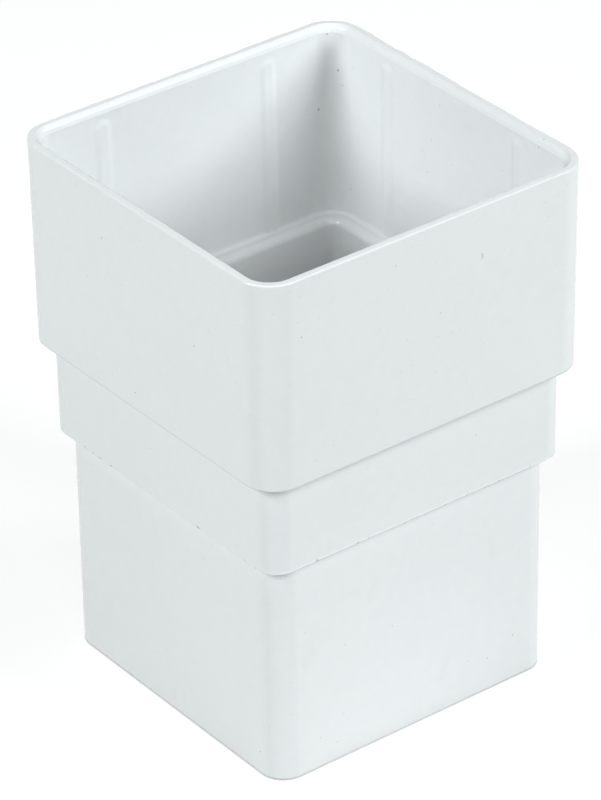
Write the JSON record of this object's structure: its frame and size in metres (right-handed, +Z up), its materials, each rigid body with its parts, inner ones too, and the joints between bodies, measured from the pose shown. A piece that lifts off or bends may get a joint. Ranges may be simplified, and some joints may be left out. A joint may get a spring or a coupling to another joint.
{
  "type": "downspout socket",
  "caption": "Square moulded downpipe connector: a wide collar with a pipe stop inside, a shoulder flush with the pipe, and a narrower spigot below.",
  "frame": {"origin": "centre of the spigot's end, which the part stands on", "axes": "+Z up along the pipe, from the spigot towards the mouth of the socket; X and Y square to the walls"},
  "size_m": [0.0708, 0.0708, 0.1035],
  "materials": {
    "white_pvc": "satin"
  },
  "bodies": {
    "root": {"socket_body": "white_pvc"}
  },
  "joints": []
}
